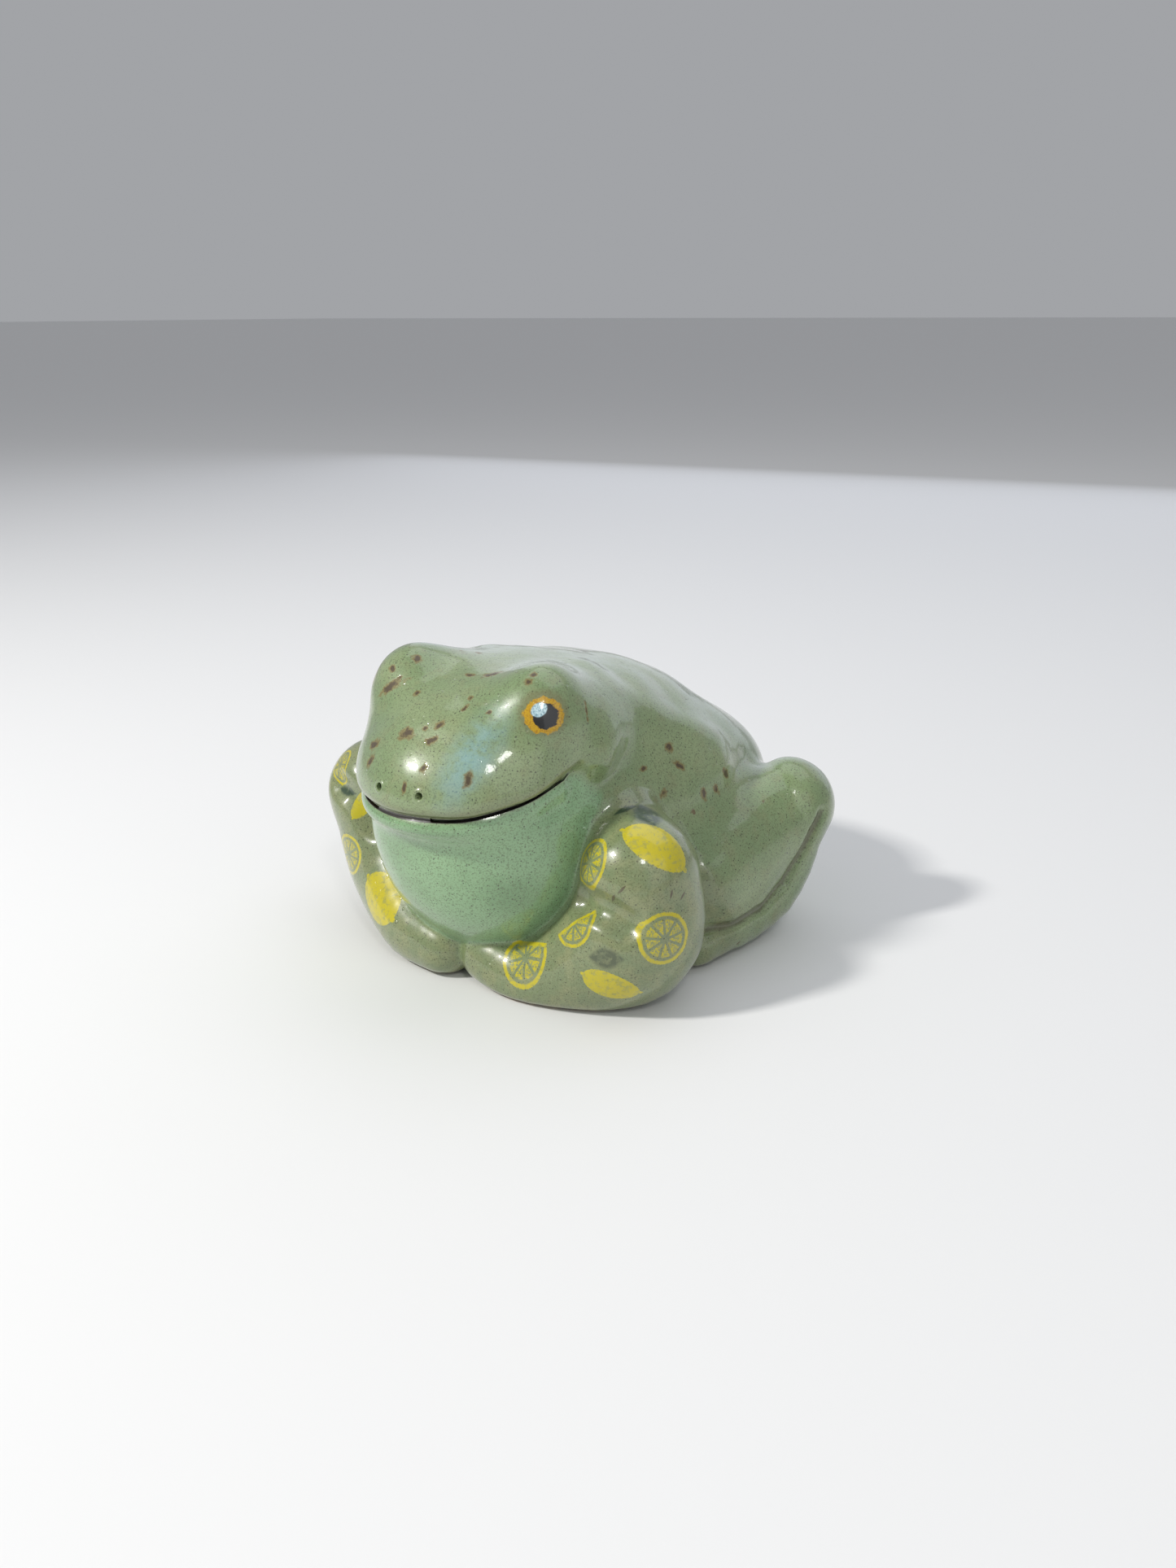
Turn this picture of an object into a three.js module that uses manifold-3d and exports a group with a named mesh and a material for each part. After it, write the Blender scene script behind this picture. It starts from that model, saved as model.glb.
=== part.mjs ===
// A squatting frog figurine in glazed stoneware: a hollow head-and-body casting with two
// forelegs and two hind legs luted on before firing. Millimetres, +Z up, the frog faces -Y.
// While it is shaped, y = 0 is the notch between the two hands and z = 0 is the table.
import * as THREE from 'three';
import { mergeVertices } from 'three/addons/utils/BufferGeometryUtils.js';
import Module from 'manifold-3d';

// Walls and joints
const wallThickness = 6.5;
const lutingGap = 0.35;   // the slip joint between a limb and the body
const socketDepth = 4;    // how far a limb is let into the body
const socketWall = 5;     // clay left between a limb's socket and the hollow
const baseFloor = 7;

// Holes through the wall
const pourHole = { x: 0, y: 88, radius: 13 };
const nostril = { x: 9.9, y: -24.5, z: 92.5, radius: 1.6, depth: 30, dip: 0.1 };

// Mouth: seen from the side, the cut runs back and rises as rise * (run / riseRun) ^ risePower
const mouth = { frontY: -31.5, length: 52, lipZ: 83, rise: 7, riseRun: 32.5, risePower: 1.65,
                cut: 2.6, halfWidth: 62 };

// Masses of the body: centres, half-axes and forward tilt in degrees
const trunk = { y: 105, z: 55.5, rx: 74, ry: 73, rz: 51, tilt: -16, square: 2.6 };
const hump = { y: 81, z: 85, rx: 45, ry: 54, rz: 38, tilt: -14, square: 2.6 };
const belly = { y: 92, z: 30, rx: 52, ry: 64, rz: 40 };
const throatSac = { y: 25.4, z: 63, rx: 50.5, ry: 44, rz: 53 };
const lowerLip = { y: 21, z: 75, rx: 45.5, ry: 45.5, rz: 9 };
const skull = { y: 22, z: 93, rx: 49.5, ry: 53, rz: 33.5, tilt: 13.5 };
const brow = { x: 31.8, y: 20.9, z: 114.9, rx: 17.1, ry: 18.2, rz: 20 };
const jaw = { x: 47, y: 33, z: 101, radius: 9 };

// Limbs: [x, y, z, radius] from the shoulder or hip outwards, given for the left side.
// The frog was shaped by hand, so its two forelegs differ a little.
const leftForeleg = {
  upper: [[54.8, 46.9, 65.6, 14.5], [69, 33.2, 53.4, 22.6]],
  lower: [[69, 33.2, 53.4, 22.6], [66, 30.5, 26, 26.5], [36, 13, 8.5, 16.5], [11, 11, 10.6, 12.8]],
};
const rightForeleg = {
  upper: [[55.2, 45.9, 69, 15.7], [72.8, 40, 58.2, 22.8]],
  lower: [[72.8, 40, 58.2, 22.8], [58.3, 33.8, 28, 23.1], [32.7, 14.6, 13.4, 16.5],
    [11.1, 7.8, 10.1, 13.8]],
};
const hindLeg = {
  thigh: [[55.5, 100.9, 34.8, 45], [86.8, 131.6, 56, 19.8]],
  shank: [[73, 69.9, 10.5, 13.5], [82.8, 115.7, 18.7, 15.6], [89.6, 129.8, 52.8, 16.1]],
};

const finish = {
  glazedBody: { color: 0x8f9a74, roughness: 0.16, metalness: 0 },
  glazedForeleg: { color: 0x989878, roughness: 0.18, metalness: 0 },
  glazedHindLeg: { color: 0x87936f, roughness: 0.16, metalness: 0 },
};

const wasm = await Module();
wasm.setup();

// ---- shaping clay as fields: negative inside, in millimetres ----

function blendUnion(a, b, reach) {
  const h = Math.max(reach - Math.abs(a - b), 0) / reach;
  return Math.min(a, b) - h * h * reach * 0.25;
}

function smoothStep(value, from, to) {
  const t = Math.min(Math.max((value - from) / (to - from), 0), 1);
  return t * t * (3 - 2 * t);
}

// An ellipsoid, or a squarer one when its exponent is above 2, tilted about the X axis
function mass(x, y, z, { x: cx = 0, y: cy, z: cz, rx, ry, rz, tilt = 0, square = 2 }) {
  const cos = Math.cos(THREE.MathUtils.degToRad(tilt));
  const sin = Math.sin(THREE.MathUtils.degToRad(tilt));
  const u = Math.abs(x - cx) / rx + 1e-6;
  const v = Math.abs(cos * (y - cy) + sin * (z - cz)) / ry + 1e-6;
  const w = Math.abs(-sin * (y - cy) + cos * (z - cz)) / rz + 1e-6;
  const k = Math.pow(u ** square + v ** square + w ** square, 1 / square);
  const slope = Math.hypot(u ** (square - 1) / rx, v ** (square - 1) / ry, w ** (square - 1) / rz);
  return (k - 1) * k ** (square - 1) / slope;
}

// A tapered stretch of limb between two balls
function stretch(x, y, z, [ax, ay, az, ar], [bx, by, bz, br]) {
  const dx = bx - ax;
  const dy = by - ay;
  const dz = bz - az;
  const along = ((x - ax) * dx + (y - ay) * dy + (z - az) * dz) / (dx * dx + dy * dy + dz * dz);
  const t = Math.min(Math.max(along, 0), 1);
  return Math.hypot(x - ax - dx * t, y - ay - dy * t, z - az - dz * t) - (ar + (br - ar) * t);
}

// A limb's balls with more balls between them, on a smooth curve
function rounded(balls, steps = 3) {
  const path = new THREE.CatmullRomCurve3(balls.map(([x, y, z]) => new THREE.Vector3(x, y, z)));
  const last = (balls.length - 1) * steps;
  return Array.from({ length: last + 1 }, (_, i) => {
    const at = path.getPoint(i / last);
    const from = Math.min(Math.floor(i / steps), balls.length - 2);
    const radius = THREE.MathUtils.lerp(balls[from][3], balls[from + 1][3], i / steps - from);
    return [at.x, at.y, at.z, radius];
  });
}

function chain(x, y, z, balls) {
  let nearest = Infinity;
  for (let i = 1; i < balls.length; i += 1) {
    nearest = Math.min(nearest, stretch(x, y, z, balls[i - 1], balls[i]));
  }
  return nearest;
}

function lipHeight(y) {
  const t = Math.min(Math.max((y - mouth.frontY) / mouth.riseRun, 0), 3);
  return mouth.lipZ + mouth.rise * t ** mouth.risePower;
}

function headField(x, y, z) {
  return blendUnion(mass(x, y, z, skull), mass(Math.abs(x), y, z, brow), 14);
}

function bodyField(x, y, z) {
  const back = blendUnion(mass(x, y, z, trunk), mass(x, y, z, hump), 20);
  const torso = blendUnion(back, mass(x, y, z, belly), 22);
  const chin = blendUnion(mass(x, y, z, throatSac), mass(x, y, z, lowerLip), 6);
  const front = blendUnion(torso, chin, 12);
  const crown = smoothStep(z, 98, 120);
  const nape = smoothStep(y, 18, 40) * (1 - crown);
  const whole = blendUnion(front, headField(x, y, z), 4 + 18 * crown + 10 * nape);
  const jawBall = Math.hypot(Math.abs(x) - jaw.x, y - jaw.y, z - jaw.z) - jaw.radius;
  return blendUnion(whole, jawBall, 8);
}

function forelegField(shape, side) {
  const lower = rounded(shape.lower);
  return (x, y, z) => {
    const upper = stretch(x * side, y, z, ...shape.upper);
    const limb = blendUnion(upper, chain(x * side, y, z, lower), 5);
    return Math.max(limb, lutingGap / 2 - x * side);
  };
}

function hindLegField(side) {
  const shank = rounded(hindLeg.shank);
  return (x, y, z) => {
    const thigh = stretch(x * side, y, z, ...hindLeg.thigh);
    return blendUnion(thigh, chain(x * side, y, z, shank), 4);
  };
}

// ---- turning fields into solids ----

function solidOf(geometry) {
  geometry.deleteAttribute('normal');
  geometry.deleteAttribute('uv');
  const merged = mergeVertices(geometry, 1e-4);
  const vertProperties = Float32Array.from(merged.attributes.position.array);
  const triVerts = Uint32Array.from(merged.index.array);
  return new wasm.Manifold(new wasm.Mesh({ numProp: 3, vertProperties, triVerts }));
}

// A ball of clay: each point of a sphere is pulled in from outside until it meets the field
function ballPressedTo(field, centre, pole, around, rows) {
  const ball = new THREE.SphereGeometry(1, around, rows);
  const toPole = new THREE.Quaternion().setFromUnitVectors(
    new THREE.Vector3(0, 1, 0), new THREE.Vector3(...pole).normalize());
  ball.applyQuaternion(toPole);
  const points = ball.attributes.position;
  const ray = new THREE.Vector3();
  for (let i = 0; i < points.count; i += 1) {
    ray.fromBufferAttribute(points, i).normalize();
    let reach = 170;
    for (let step = 0; step < 200; step += 1) {
      const at = ray.clone().multiplyScalar(reach);
      const off = field(centre[0] + at.x, centre[1] + at.y, centre[2] + at.z);
      if (Math.abs(off) < 1e-3) break;
      reach = Math.max(reach - off * 0.6, 1);
    }
    points.setXYZ(i, centre[0] + ray.x * reach, centre[1] + ray.y * reach, centre[2] + ray.z * reach);
  }
  return solidOf(ball);
}

const grown = (field) => (x, y, z) => field(x, y, z) - lutingGap;

function meshOf(name, solid, glaze) {
  const { vertProperties, triVerts } = solid.getMesh();
  const geometry = new THREE.BufferGeometry();
  geometry.setAttribute('position', new THREE.BufferAttribute(vertProperties, 3));
  geometry.setIndex(new THREE.BufferAttribute(triVerts, 1));
  geometry.computeVertexNormals();
  const mesh = new THREE.Mesh(geometry, new THREE.MeshStandardMaterial(glaze));
  mesh.name = name;
  return mesh;
}

// Everything under the table top is sliced off, which leaves the flat foot of each piece
const tableSlab = solidOf(new THREE.BoxGeometry(400, 500, 80).translate(0, 80, -40));

// ---- forelegs and hind legs ----

const around = 26;
const bodyCentre = [0, 68, 62];
const headward = [0, -1, 0.25];
const leftFore = forelegField(leftForeleg, 1);
const rightFore = forelegField(rightForeleg, -1);
const leftHind = hindLegField(1);
const rightHind = hindLegField(-1);

// The body's inside, down from its surface by a depth
function bodyCore(depth) {
  return ballPressedTo((x, y, z) => bodyField(x, y, z) + depth, bodyCentre, headward, 40, 30);
}

const limbFloor = bodyCore(socketDepth);
const socketFloor = bodyCore(socketDepth + lutingGap);

function foreleg(field, side) {
  return ballPressedTo(field, [62 * side, 31, 36], [-50 * side, -20, -26], around, 24);
}

function hindLegBall(field, side) {
  return ballPressedTo(field, [70 * side, 103, 34], [18 * side, 30, 24], around, 20);
}

const socketOf = {
  leftFore: foreleg(grown(leftFore), 1).subtract(socketFloor),
  rightFore: foreleg(grown(rightFore), -1).subtract(socketFloor),
  leftHind: hindLegBall(grown(leftHind), 1).subtract(socketFloor),
  rightHind: hindLegBall(grown(rightHind), -1).subtract(socketFloor),
};

// A limb ends inside its socket and stands on the table
const seated = (ball) => ball.subtract(limbFloor).subtract(tableSlab);

const limb = {
  leftFore: seated(foreleg(leftFore, 1)),
  rightFore: seated(foreleg(rightFore, -1)),
  leftHind: seated(hindLegBall(leftHind, 1)).subtract(socketOf.leftFore),
  rightHind: seated(hindLegBall(rightHind, -1)).subtract(socketOf.rightFore),
};

// ---- the hollow head and body ----

function hollowField(x, y, z) {
  const body = bodyField(x, y, z);
  const nearestLimb = Math.min(
    leftFore(x, y, z), rightFore(x, y, z), leftHind(x, y, z), rightHind(x, y, z));
  const socket = Math.max(nearestLimb, -body - socketDepth);
  return Math.max(body + wallThickness, socketWall - socket, baseFloor - z);
}

// The mouth is a thin cut along the lip, as deep as a limb's socket
function mouthCut() {
  const steps = 14;
  const profile = Array.from({ length: steps + 1 }, (_, i) => {
    const y = mouth.frontY - 8 + (mouth.length + 8) * i / steps;
    return new THREE.Vector2(y, lipHeight(y));
  });
  const upper = profile.map((point) => new THREE.Vector2(point.x, point.y + mouth.cut / 2));
  const lower = profile.map((point) => new THREE.Vector2(point.x, point.y - mouth.cut / 2)).reverse();
  const blade = new THREE.ExtrudeGeometry(new THREE.Shape([...upper, ...lower]),
    { depth: 2 * mouth.halfWidth, bevelEnabled: false });
  // the drawn plane (y, z) is stood up, and the extrusion runs along X
  blade.applyMatrix4(new THREE.Matrix4().set(0, 0, 1, -mouth.halfWidth, 1, 0, 0, 0, 0, 1, 0, 0, 0, 0, 0, 1));
  return solidOf(blade).subtract(limbFloor);
}

function nostrilHole(side) {
  const drill = new THREE.CylinderGeometry(nostril.radius, nostril.radius, nostril.depth, 12);
  drill.rotateX(nostril.dip).translate(side * nostril.x, nostril.y + nostril.depth / 2 - 6, nostril.z);
  return solidOf(drill);
}

function pourHoleDrill() {
  const drill = new THREE.CylinderGeometry(pourHole.radius, pourHole.radius, 3 * baseFloor, 24);
  drill.rotateX(Math.PI / 2).translate(pourHole.x, pourHole.y, 0);
  return solidOf(drill);
}

let bodySolid = ballPressedTo(bodyField, bodyCentre, headward, 48, 36);
for (const cutter of [
  tableSlab,
  ...Object.values(socketOf),
  ballPressedTo(hollowField, [0, 80, 62], headward, 24, 18),
  mouthCut(),
  nostrilHole(1),
  nostrilHole(-1),
  pourHoleDrill(),
]) {
  bodySolid = bodySolid.subtract(cutter);
}

// ---- the figurine, centred over the middle of its footprint ----

const frog = new THREE.Group();
frog.add(
  meshOf('torso_shell', bodySolid, finish.glazedBody),
  meshOf('left_foreleg', limb.leftFore, finish.glazedForeleg),
  meshOf('right_foreleg', limb.rightFore, finish.glazedForeleg),
  meshOf('left_hind_leg', limb.leftHind, finish.glazedHindLeg),
  meshOf('right_hind_leg', limb.rightHind, finish.glazedHindLeg),
);
const outline = new THREE.Box3().setFromObject(frog);
const middle = outline.getCenter(new THREE.Vector3());
frog.position.set(-middle.x, -middle.y, -outline.min.z);

export default frog;
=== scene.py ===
import math

import bpy
import numpy as np
from mathutils import Matrix, Vector


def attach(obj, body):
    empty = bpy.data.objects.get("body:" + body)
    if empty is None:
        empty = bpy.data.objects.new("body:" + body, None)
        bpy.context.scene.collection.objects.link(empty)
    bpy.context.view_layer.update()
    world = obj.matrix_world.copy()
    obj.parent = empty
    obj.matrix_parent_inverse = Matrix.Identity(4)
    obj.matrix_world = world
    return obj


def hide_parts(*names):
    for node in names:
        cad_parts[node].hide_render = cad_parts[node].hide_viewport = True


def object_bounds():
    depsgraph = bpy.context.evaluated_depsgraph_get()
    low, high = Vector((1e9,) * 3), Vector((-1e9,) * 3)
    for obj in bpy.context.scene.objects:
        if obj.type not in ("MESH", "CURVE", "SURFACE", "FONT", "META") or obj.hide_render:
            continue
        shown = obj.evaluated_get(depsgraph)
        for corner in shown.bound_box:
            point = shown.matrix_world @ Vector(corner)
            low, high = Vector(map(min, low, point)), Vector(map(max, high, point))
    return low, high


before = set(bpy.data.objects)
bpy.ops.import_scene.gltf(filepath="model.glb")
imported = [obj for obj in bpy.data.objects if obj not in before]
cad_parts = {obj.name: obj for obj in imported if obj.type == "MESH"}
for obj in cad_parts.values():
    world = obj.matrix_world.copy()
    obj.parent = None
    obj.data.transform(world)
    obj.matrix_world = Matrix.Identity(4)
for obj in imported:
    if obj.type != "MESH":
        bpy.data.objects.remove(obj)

cadLow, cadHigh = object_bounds()
bpy.ops.object.select_all(action="DESELECT")

# The clay is shaped in millimetres with y = 0 at the notch between the hands.
noseReach = 30.11                               # how far the nose stands in front of that notch
notchY = cadLow.y * 1000 + noseReach            # the notch in the object's own frame, mm


def toFrame(point):
    return Vector((point[0], point[1] + notchY, point[2])) / 1000


def toClay(points):
    return points.astype(np.float64) * 1000 - (0, notchY, 0)


# The clay is a set of fields: distances in mm, negative inside.
torso = {
    "trunk": {"centre": (0, 105.3, 55.2), "radii": (74.8, 73.9, 50.8), "tilt": -16.5, "square": 2.6},
    "hump": {"centre": (0, 81.7, 85), "radii": (45, 54.3, 37.8), "tilt": -13.8, "square": 2.6},
    "belly": {"centre": (0, 92, 30), "radii": (52, 64, 40)},
    "skull": {"centre": (0, 22, 92.9), "radii": (49.4, 53, 33.6), "tilt": 13.5},
    "brow": {"centre": (31.7, 20.9, 114.9), "radii": (17.1, 18.2, 20.1)},
    "throatSac": {"centre": (0, 24.4, 64.7), "radii": (50.7, 43.6, 55.2), "tilt": 1.9},
    "lowerLip": {"centre": (0, 21.1, 75), "radii": (45.5, 45, 9.3)},
    "jaw": {"centre": (44.5, 33, 101), "radii": (7.5, 8, 7.5)},
    "neck": {"centre": (30, 42, 102), "radii": (17, 20, 18)},
    "shoulder": {"centre": (25, 57, 92), "radii": (26, 36, 25), "square": 2.6},
}
lipRim = {"centreY": 22, "across": 46.2, "along": 51, "radius": 3.6, "drop": 4.4}
mouth = {"frontY": -31.5, "lipZ": 83, "rise": 7, "riseRun": 32.5, "risePower": 1.65,
         "gape": 1.0, "slit": 1.2, "cut": 4.5, "cornerY": 19, "middle": 30,
         "sweep": 76, "search": (20.0, 80.0)}
leftForeleg = {
    "upper": [(55, 44, 62.5, 19), (69, 33.2, 53.4, 22.6)],
    "lower": [(69, 33.2, 53.4, 22.6), (65.6, 30.2, 25.8, 27.8), (34.9, 12.9, 6.7, 16),
              (11, 11, 10.6, 12.8)],
    "hub": (50, 27, 35), "reach": 66,           # a ball that holds the whole limb
}
rightForeleg = {
    "upper": [(56, 46, 64, 19), (72.8, 40, 58.2, 22.8)],
    "lower": [(72.8, 40, 58.2, 22.8), (58.3, 33.8, 28, 23.1), (32.7, 14.6, 13.4, 16.5),
              (11.1, 7.8, 10.1, 13.8)],
    "hub": (50, 27, 35), "reach": 66,
}
hindLeg = {
    "upper": [(55.5, 100.9, 34.8, 45), (86.8, 131.6, 56, 19.8)],
    "lower": [(73, 69.9, 10.5, 13.5), (82.8, 115.7, 18.7, 15.6), (89.6, 129.8, 52.8, 16.1)],
    "hub": (72, 108, 36), "reach": 66,
}
leftElbow = [(57, 11, 46.5), (66.2, 8, 47.2), (72, 7.8, 46.1), (79, 8.4, 43)]
rightElbow = [(58, 17, 51), (66, 16.5, 58.5), (73, 16.4, 63), (80, 19, 65)]
shankLine = [(80, 60, 19), (89.2, 76.3, 17.4), (93.3, 96.8, 19), (96.4, 109.7, 26.5), (101.4, 118, 41),
             (105.9, 124.9, 56)]
flankValley = [(74, 124, 76), (79, 104, 72), (82, 92, 65), (81, 82, 61), (79, 73, 57), (79, 66, 52)]
backRidge = [(26, 60, 125), (40, 58, 115), (50, 72, 105), (59, 90, 97), (64, 102, 89), (71, 97, 80)]
shankCrease = (shankLine, 1.8, 6)               # route, width, depth
folds = [                                       # pressed in, or raised where the depth is negative
    (1, (leftElbow, 4.6, 10)),
    (-1, (rightElbow, 4.6, 8)),
]
for side in (1, -1):
    folds += [(side, shankCrease), (side, (flankValley, 7, 2.6)), (side, (backRidge, 8, -1.5))]

blends = {                                      # how far two forms melt into each other, mm
    "trunkHump": 20, "belly": 22, "shoulder": 12, "neck": 16, "throat": 6, "brow": 14, "lipEdge": 5,
    "chin": 18, "mouth": 3, "crown": 17, "nape": 16, "jaw": 9, "thigh": 6, "hands": 2.5, "foot": 4,
    "arm": 3, "armTop": 7, "elbow": 5, "segments": 1.5,
}


def softMin(a, b, reach):
    h = np.maximum(reach - np.abs(a - b), 0) / reach
    return np.minimum(a, b) - h * h * reach * 0.25


def softMax(a, b, reach):
    return -softMin(-a, -b, reach)


def ramp(value, low, high):
    t = np.clip((value - low) / (high - low), 0, 1)
    return t * t * (3 - 2 * t)


def mass(p, centre, radii, tilt=0, square=2):   # an ellipsoid, or a squarer one
    cos = math.cos(math.radians(tilt))
    sin = math.sin(math.radians(tilt))
    x, y, z = (p - centre).T
    u = np.abs(x) / radii[0] + 1e-6
    v = np.abs(cos * y + sin * z) / radii[1] + 1e-6
    w = np.abs(cos * z - sin * y) / radii[2] + 1e-6
    k = (u ** square + v ** square + w ** square) ** (1 / square)
    slope = np.sqrt(sum((t ** (square - 1) / r) ** 2 for t, r in zip((u, v, w), radii)))
    return (k - 1) * k ** (square - 1) / slope


def stretch(p, a, b):                           # a tapered stretch between two balls
    start, run = np.array(a[:3]), np.subtract(b[:3], a[:3])
    t = np.clip((p - start) @ run / (run @ run), 0, 1)
    return np.linalg.norm(p - start - t[:, None] * run, axis=1) - (a[3] + (b[3] - a[3]) * t)


def smoothPath(balls, steps=5):                 # more balls between the given ones, on a smooth curve
    knots = np.array(balls, float)
    knots = np.vstack([2 * knots[0] - knots[1], knots, 2 * knots[-1] - knots[-2]])
    path = []
    for a, b, c, d in zip(knots, knots[1:], knots[2:], knots[3:]):
        for t in np.arange(steps) / steps:
            path.append(0.5 * (2 * b + (c - a) * t + (2 * a - 5 * b + 4 * c - d) * t * t
                               + (3 * b - a - 3 * c + d) * t ** 3))
    path.append(knots[-2])
    return path


def limbField(p, limb, side):
    q = p * (side, 1, 1)
    off = np.linalg.norm(q - limb["hub"], axis=1) - limb["reach"]
    near = off < 25                             # farther off than any blend reaches, the ball will do
    close = q[near]
    if len(close):
        path = limb.setdefault("path", smoothPath(limb["lower"]))
        lower = stretch(close, path[0], path[1])
        for a, b in zip(path[1:], path[2:]):
            lower = softMin(lower, stretch(close, a, b), blends["segments"])
        off[near] = softMin(stretch(close, *limb["upper"]), lower, blends["elbow"])
    return off


def lipHeight(y):
    back = np.clip((y - mouth["frontY"]) / mouth["riseRun"], 0, 3)
    return mouth["lipZ"] + mouth["rise"] * back ** mouth["risePower"]


def rimField(p):                                # the rounded edge of the lower lip
    x, y, z = p.T
    ring = np.hypot(x / lipRim["across"], (y - lipRim["centreY"]) / lipRim["along"])
    apart = (ring - 1) * lipRim["along"]
    tube = np.hypot(apart + lipRim["radius"], z - lipHeight(y) + lipRim["drop"]) - lipRim["radius"]
    return tube + np.maximum(y - mouth["cornerY"] + 5, 0)


def pressed(p, route, width, deep):             # how far the clay is pressed in along a route
    line = np.min([stretch(p, (*a, 0), (*b, 0)) for a, b in zip(route, route[1:])], axis=0)
    return deep * np.exp(-(line / width) ** 2)


def foldDepth(p):
    return sum(pressed(p * (side, 1, 1), *fold) for side, fold in folds)


def wobble(p):                                  # the hand-pressed unevenness of the clay
    x, y, z = p.T
    broad = np.sin(x / 7 + y / 13 + 1) * np.sin(y / 9 - z / 12)
    return 0.22 * broad + 0.15 * np.sin(z / 6 + x / 11) * np.sin(y / 5.5)


def folded(p):                                  # both flanks laid over the left one
    return np.abs(p[:, 0])[:, None] * (1, 0, 0) + p * (0, 1, 1)


def clayFields(p):
    both = folded(p)
    back = softMin(mass(p, **torso["trunk"]), mass(p, **torso["hump"]), blends["trunkHump"])
    back = softMin(back, mass(p, **torso["belly"]), blends["belly"])
    back = softMin(back, mass(both, **torso["shoulder"]), blends["shoulder"])
    back = softMin(back, mass(both, **torso["neck"]), blends["neck"])
    chin = softMin(mass(p, **torso["throatSac"]), mass(p, **torso["lowerLip"]), blends["throat"])
    chin = softMin(chin, rimField(p), blends["throat"])
    head = softMin(mass(p, **torso["skull"]), mass(both, **torso["brow"]), blends["brow"])
    head = softMax(head, lipHeight(p[:, 1]) - p[:, 2], blends["lipEdge"])
    crown = ramp(p[:, 2], 98, 120)              # the top of the head and the nape melt into the back,
    nape = ramp(p[:, 1], 18, 34) * (1 - crown)  # and the lips stay sharp
    melt = blends["mouth"] + blends["crown"] * crown + blends["nape"] * nape
    body = softMin(softMin(back, chin, blends["chin"]), head, melt)
    body = softMin(body, mass(both, **torso["jaw"]), blends["jaw"])
    found = {
        "body": body, "chin": chin, "back": back, "head": head,
        "leftFore": limbField(p, leftForeleg, 1), "rightFore": limbField(p, rightForeleg, -1),
        "leftHind": limbField(p, hindLeg, 1), "rightHind": limbField(p, hindLeg, -1),
    }
    hind = np.minimum(found["leftHind"], found["rightHind"])
    fore = softMin(found["leftFore"], found["rightFore"], blends["hands"])
    joint = blends["arm"] + blends["armTop"] * np.clip((p[:, 2] - 64) / 20, 0, 1)
    whole = softMin(softMin(body, hind, blends["thigh"]), fore, joint) + foldDepth(p) + wobble(p)
    found["whole"] = softMax(whole, -p[:, 2], blends["foot"])
    return found


solids = ("body", "leftFore", "rightFore", "leftHind", "rightHind")
overlap = {"from": 3, "slope": 0.04, "tuck": 10}    # how a piece slips under its neighbour at a joint, mm


def pieceField(name):
    def field(p):
        found = clayFields(p)
        other = np.min([found[solid] for solid in solids if solid != name], axis=0)
        past = found[name] - other
        dive = overlap["slope"] * np.maximum(past + overlap["from"], 0)
        return softMax(found["whole"] + dive, past - overlap["tuck"], 2)
    return field


def selectOnly(piece):
    bpy.ops.object.select_all(action="DESELECT")
    piece.select_set(True)
    bpy.context.view_layer.objects.active = piece


def clayBall(centre, radii, tilt=0):
    bpy.ops.mesh.primitive_uv_sphere_add(segments=32, ring_count=20, radius=0.001,
                                         location=toFrame(centre), scale=radii,
                                         rotation=(math.radians(tilt), 0, 0))
    return bpy.context.object


def joined(parts, name, voxel):
    bpy.ops.object.select_all(action="DESELECT")
    for part in parts:
        part.select_set(True)
    bpy.context.view_layer.objects.active = parts[0]
    bpy.ops.object.join()
    piece = bpy.context.object
    piece.name = piece.data.name = name
    bpy.ops.object.transform_apply(location=True, rotation=True, scale=True)
    remeshed(piece, voxel)
    return piece


def remeshed(piece, voxel):
    selectOnly(piece)
    piece.data.remesh_voxel_size = voxel / 1000
    bpy.ops.object.voxel_remesh()


def pointsOf(mesh):
    flat = np.empty(len(mesh.vertices) * 3, np.float32)
    mesh.vertices.foreach_get("co", flat)
    return toClay(flat.reshape(-1, 3))


def setPoints(mesh, p):
    mesh.vertices.foreach_set("co", ((p + (0, notchY, 0)) / 1000).astype(np.float32).ravel())
    mesh.update()


def edgesOf(mesh):
    flat = np.empty(len(mesh.edges) * 2, np.int32)
    mesh.edges.foreach_get("vertices", flat)
    return flat.reshape(-1, 2)


def normalsOf(mesh):
    flat = np.empty(len(mesh.vertices) * 3, np.float32)
    mesh.vertices.foreach_get("normal", flat)
    return flat.reshape(-1, 3).astype(np.float64)


def neighbourMean(values, edges):
    count = np.bincount(edges.ravel(), minlength=len(values))
    columns = [np.bincount(edges[:, 0], column[edges[:, 1]], len(values))
               + np.bincount(edges[:, 1], column[edges[:, 0]], len(values)) for column in values.T]
    return np.stack(columns, 1) / np.maximum(count, 1)[:, None]


def pressTo(piece, field, passes, relax=0.5, reach=4):
    mesh = piece.data
    p, edges = pointsOf(mesh), edgesOf(mesh)
    probe = 0.05
    for count in range(passes):
        off = field(p)
        slope = np.stack([(field(p + probe * axis) - off) / probe for axis in np.eye(3)], 1)
        size = np.maximum((slope ** 2).sum(1), 0.3)
        p -= slope * np.clip(off / size, -reach, reach)[:, None]
        if count < passes - 1:
            drift = neighbourMean(p, edges) - p
            along = (drift * slope).sum(1) / size
            p += relax * (drift - slope * along[:, None])
    setPoints(mesh, p)


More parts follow.
